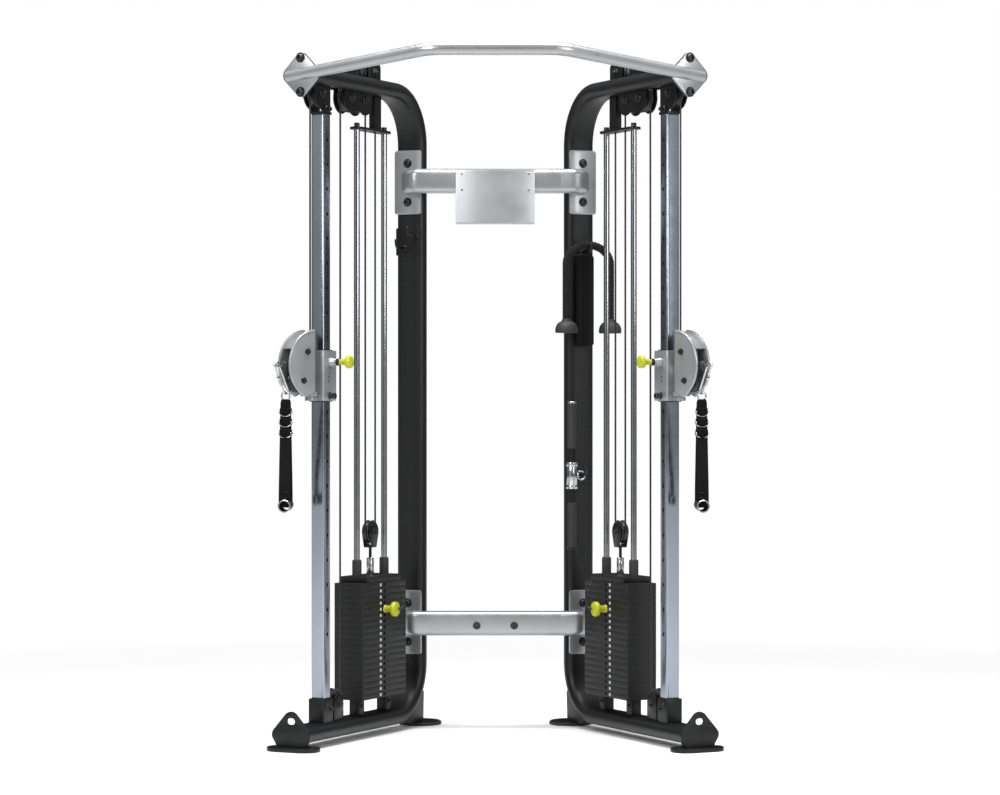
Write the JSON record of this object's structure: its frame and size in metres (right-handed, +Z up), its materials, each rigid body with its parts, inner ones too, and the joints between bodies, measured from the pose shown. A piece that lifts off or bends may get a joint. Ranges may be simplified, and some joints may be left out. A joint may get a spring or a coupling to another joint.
{
  "type": "cable crossover machine",
  "caption": "Two toed-in weight-stack towers joined by cross members and a bent pull-up bar, with sliding carriages, swivel pulleys, cables and strap handles.",
  "frame": {"origin": "middle of the bounding box, on the floor", "axes": "+Z up, +X to the machine's right side as its user faces it, -Y towards the user's side"},
  "size_m": [1.3846, 1.0435, 2.1469],
  "materials": {
    "textured_black_paint": "textured, satin",
    "weight_plate_grey": "painted, fine texture",
    "chrome": "polished",
    "bright_steel": "bright",
    "silver_paint": "metallic, satin",
    "grey_paint": "metallic, satin",
    "satin_sheet": "satin",
    "nylon_black": "satin",
    "coated_cable": "smooth",
    "yellow_knob": "smooth",
    "webbing": "woven",
    "braided_rope": "braided"
  },
  "bodies": {
    "frame": {"left_side_frame": "textured_black_paint", "left_column": "chrome", "left_guide_rod_front": "chrome", "left_guide_rod_rear": "chrome", "left_rod_retainer": "textured_black_paint", "left_resting_plates": "weight_plate_grey", "left_cable": "coated_cable", "left_accessory_hooks": "textured_black_paint", "right_side_frame": "textured_black_paint", "right_column": "chrome", "right_guide_rod_front": "chrome", "right_guide_rod_rear": "chrome", "right_rod_retainer": "textured_black_paint", "right_resting_plates": "weight_plate_grey", "right_cable": "coated_cable", "right_accessory_hooks": "textured_black_paint", "pull_up_bar": "silver_paint", "upper_cross_member": "silver_paint", "lower_cross_member": "silver_paint", "placard": "satin_sheet", "triceps_rope": "braided_rope", "ankle_strap": "webbing", "straight_bar": "bright_steel", "straight_bar_hook": "textured_black_paint"},
    "left_carriage": {"left_carriage": "grey_paint"},
    "left_pop_pin": {"left_pop_pin": "yellow_knob"},
    "left_stack": {"left_lifted_plates": "weight_plate_grey", "left_selector_rod": "bright_steel", "left_pin_lanyard": "coated_cable"},
    "left_weight_pin": {"left_weight_pin": "yellow_knob"},
    "left_front_pulley": {"left_front_pulley": "nylon_black"},
    "left_guide_pulley_front": {"left_guide_pulley_front": "nylon_black"},
    "left_guide_pulley_rear": {"left_guide_pulley_rear": "nylon_black"},
    "left_upper_pulley": {"left_upper_pulley": "nylon_black"},
    "left_floating_pulley": {"left_floating_pulley": "nylon_black"},
    "left_bottom_pulley": {"left_bottom_pulley": "nylon_black"},
    "left_swivel": {"left_swivel_housing": "grey_paint"},
    "left_swivel_pulley_upper": {"left_swivel_pulley_upper": "nylon_black"},
    "left_swivel_pulley_lower": {"left_swivel_pulley_lower": "nylon_black"},
    "left_cable_end": {"left_cable_end": "coated_cable"},
    "left_carabiner": {"left_carabiner": "bright_steel"},
    "left_strap_handle": {"left_strap_handle": "webbing"},
    "right_carriage": {"right_carriage": "grey_paint"},
    "right_pop_pin": {"right_pop_pin": "yellow_knob"},
    "right_stack": {"right_lifted_plates": "weight_plate_grey", "right_selector_rod": "bright_steel", "right_pin_lanyard": "coated_cable"},
    "right_weight_pin": {"right_weight_pin": "yellow_knob"},
    "right_front_pulley": {"right_front_pulley": "nylon_black"},
    "right_guide_pulley_front": {"right_guide_pulley_front": "nylon_black"},
    "right_guide_pulley_rear": {"right_guide_pulley_rear": "nylon_black"},
    "right_upper_pulley": {"right_upper_pulley": "nylon_black"},
    "right_floating_pulley": {"right_floating_pulley": "nylon_black"},
    "right_bottom_pulley": {"right_bottom_pulley": "nylon_black"},
    "right_swivel": {"right_swivel_housing": "grey_paint"},
    "right_swivel_pulley_upper": {"right_swivel_pulley_upper": "nylon_black"},
    "right_swivel_pulley_lower": {"right_swivel_pulley_lower": "nylon_black"},
    "right_cable_end": {"right_cable_end": "coated_cable"},
    "right_carabiner": {"right_carabiner": "bright_steel"},
    "right_strap_handle": {"right_strap_handle": "webbing"}
  },
  "joints": [
    {"name": "left_stack_lift", "type": "slide", "parent": "frame", "child": "left_stack", "axis": [0, 0, 1], "range_m": [0, 1.1]},
    {"name": "left_handle_pull", "type": "slide", "parent": "left_swivel", "child": "left_cable_end", "axis": [-0.6884, -0.7254, 0], "range_m": [0, 2.2]},
    {"name": "left_carriage_slide", "type": "slide", "parent": "frame", "child": "left_carriage", "axis": [0, 0, 1], "range_m": [-0.5334, 0.6096], "deforming": ["left_cable"]},
    {"name": "left_pop_pin_pull", "type": "slide", "parent": "left_carriage", "child": "left_pop_pin", "axis": [0.8988, -0.4384, 0], "range_m": [-0.0035, 0.0085], "stiffness_N_per_m": 900},
    {"name": "left_swivel_turn", "type": "hinge", "parent": "left_carriage", "child": "left_swivel", "pos_m": [-0.56763, -0.20524, 1.173], "axis": [0, 0, 1], "range_deg": [-62.5, 97.5]},
    {"name": "left_weight_pin_pull", "type": "slide", "parent": "left_stack", "child": "left_weight_pin", "axis": [0.8988, -0.4384, 0], "range_m": [0, 0.12], "deforming": ["left_pin_lanyard"]},
    {"name": "left_front_pulley_turn", "type": "hinge", "parent": "frame", "child": "left_front_pulley", "pos_m": [-0.55009, -0.16929, 2.008], "axis": [-0.8988, 0.4384, 0], "continuous": true},
    {"name": "left_upper_pulley_turn", "type": "hinge", "parent": "frame", "child": "left_upper_pulley", "pos_m": [-0.40104, 0.1363, 2.104], "axis": [-0.8988, 0.4384, 0], "continuous": true},
    {"name": "left_guide_pulley_front_turn", "type": "hinge", "parent": "frame", "child": "left_guide_pulley_front", "pos_m": [-0.46741, 0.00023, 2.011], "axis": [-0.8988, 0.4384, 0], "continuous": true},
    {"name": "left_guide_pulley_rear_turn", "type": "hinge", "parent": "frame", "child": "left_guide_pulley_rear", "pos_m": [-0.4291, 0.07878, 2.011], "axis": [-0.8988, 0.4384, 0], "continuous": true},
    {"name": "left_bottom_pulley_turn", "type": "hinge", "parent": "frame", "child": "left_bottom_pulley", "pos_m": [-0.5038, -0.07437, 0.1222], "axis": [-0.8988, 0.4384, 0], "continuous": true},
    {"name": "left_floating_pulley_turn", "type": "hinge", "parent": "left_stack", "child": "left_floating_pulley", "pos_m": [-0.39798, 0.1426, 0.646], "axis": [-0.8988, 0.4384, 0], "continuous": true},
    {"name": "left_swivel_pulley_upper_turn", "type": "hinge", "parent": "left_swivel", "child": "left_swivel_pulley_upper", "pos_m": [-0.59103, -0.2299, 1.2125], "axis": [0.7254, -0.6884, 0], "continuous": true},
    {"name": "left_swivel_pulley_lower_turn", "type": "hinge", "parent": "left_swivel", "child": "left_swivel_pulley_lower", "pos_m": [-0.60205, -0.24151, 1.124], "axis": [0.7254, -0.6884, 0], "continuous": true},
    {"name": "left_hook_swing", "type": "hinge", "parent": "left_cable_end", "child": "left_carabiner", "pos_m": [-0.66262, -0.30534, 1.1705], "axis": [0.7254, -0.6884, 0], "range_deg": [-60, 0]},
    {"name": "left_handle_swing", "type": "hinge", "parent": "left_carabiner", "child": "left_strap_handle", "pos_m": [-0.63715, -0.2785, 1.093], "axis": [0.7254, -0.6884, 0], "range_deg": [-60, 12]},
    {"name": "right_stack_lift", "type": "slide", "parent": "frame", "child": "right_stack", "axis": [0, 0, 1], "range_m": [0, 1.1]},
    {"name": "right_handle_pull", "type": "slide", "parent": "right_swivel", "child": "right_cable_end", "axis": [0.5878, -0.809, 0], "range_m": [0, 2.2]},
    {"name": "right_carriage_slide", "type": "slide", "parent": "frame", "child": "right_carriage", "axis": [0, 0, 1], "range_m": [-0.5334, 0.6096], "deforming": ["right_cable"]},
    {"name": "right_pop_pin_pull", "type": "slide", "parent": "right_carriage", "child": "right_pop_pin", "axis": [-0.8988, -0.4384, 0], "range_m": [-0.0035, 0.0085], "stiffness_N_per_m": 900},
    {"name": "right_swivel_turn", "type": "hinge", "parent": "right_carriage", "child": "right_swivel", "pos_m": [0.56763, -0.20524, 1.173], "axis": [0, 0, 1], "range_deg": [-90, 70]},
    {"name": "right_weight_pin_pull", "type": "slide", "parent": "right_stack", "child": "right_weight_pin", "axis": [-0.8988, -0.4384, 0], "range_m": [0, 0.12], "deforming": ["right_pin_lanyard"]},
    {"name": "right_front_pulley_turn", "type": "hinge", "parent": "frame", "child": "right_front_pulley", "pos_m": [0.55009, -0.16929, 2.008], "axis": [-0.8988, -0.4384, 0], "continuous": true},
    {"name": "right_upper_pulley_turn", "type": "hinge", "parent": "frame", "child": "right_upper_pulley", "pos_m": [0.40104, 0.1363, 2.104], "axis": [-0.8988, -0.4384, 0], "continuous": true},
    {"name": "right_guide_pulley_front_turn", "type": "hinge", "parent": "frame", "child": "right_guide_pulley_front", "pos_m": [0.46741, 0.00023, 2.011], "axis": [-0.8988, -0.4384, 0], "continuous": true},
    {"name": "right_guide_pulley_rear_turn", "type": "hinge", "parent": "frame", "child": "right_guide_pulley_rear", "pos_m": [0.4291, 0.07878, 2.011], "axis": [-0.8988, -0.4384, 0], "continuous": true},
    {"name": "right_bottom_pulley_turn", "type": "hinge", "parent": "frame", "child": "right_bottom_pulley", "pos_m": [0.5038, -0.07437, 0.1222], "axis": [-0.8988, -0.4384, 0], "continuous": true},
    {"name": "right_floating_pulley_turn", "type": "hinge", "parent": "right_stack", "child": "right_floating_pulley", "pos_m": [0.39798, 0.1426, 0.646], "axis": [-0.8988, -0.4384, 0], "continuous": true},
    {"name": "right_swivel_pulley_upper_turn", "type": "hinge", "parent": "right_swivel", "child": "right_swivel_pulley_upper", "pos_m": [0.58761, -0.23275, 1.2125], "axis": [0.809, 0.5878, 0], "continuous": true},
    {"name": "right_swivel_pulley_lower_turn", "type": "hinge", "parent": "right_swivel", "child": "right_swivel_pulley_lower", "pos_m": [0.59702, -0.24569, 1.124], "axis": [0.809, 0.5878, 0], "continuous": true},
    {"name": "right_hook_swing", "type": "hinge", "parent": "right_cable_end", "child": "right_carabiner", "pos_m": [0.64874, -0.31688, 1.1705], "axis": [0.809, 0.5878, 0], "range_deg": [-60, 0]},
    {"name": "right_handle_swing", "type": "hinge", "parent": "right_carabiner", "child": "right_strap_handle", "pos_m": [0.627, -0.28695, 1.093], "axis": [0.809, 0.5878, 0], "range_deg": [-60, 12]}
  ],
  "couplings": [
    {"joint": "left_handle_pull", "follows": "left_stack_lift", "ratio": 2},
    {"joint": "left_front_pulley_turn", "follows": "left_stack_lift", "rad_per_m": -50},
    {"joint": "left_upper_pulley_turn", "follows": "left_stack_lift", "rad_per_m": -50},
    {"joint": "left_guide_pulley_front_turn", "follows": "left_carriage_slide", "rad_per_m": -26.316},
    {"joint": "left_guide_pulley_rear_turn", "follows": "left_carriage_slide", "rad_per_m": -26.316},
    {"joint": "left_bottom_pulley_turn", "follows": "left_carriage_slide", "rad_per_m": 22.936},
    {"joint": "left_floating_pulley_turn", "follows": "left_stack_lift", "rad_per_m": -30.303},
    {"joint": "left_swivel_pulley_upper_turn", "follows": "left_stack_lift", "rad_per_m": -58.824},
    {"joint": "right_handle_pull", "follows": "right_stack_lift", "ratio": 2},
    {"joint": "right_front_pulley_turn", "follows": "right_stack_lift", "rad_per_m": -50},
    {"joint": "right_upper_pulley_turn", "follows": "right_stack_lift", "rad_per_m": -50},
    {"joint": "right_guide_pulley_front_turn", "follows": "right_carriage_slide", "rad_per_m": -26.316},
    {"joint": "right_guide_pulley_rear_turn", "follows": "right_carriage_slide", "rad_per_m": -26.316},
    {"joint": "right_bottom_pulley_turn", "follows": "right_carriage_slide", "rad_per_m": 22.936},
    {"joint": "right_floating_pulley_turn", "follows": "right_stack_lift", "rad_per_m": -30.303},
    {"joint": "right_swivel_pulley_upper_turn", "follows": "right_stack_lift", "rad_per_m": -58.824}
  ]
}
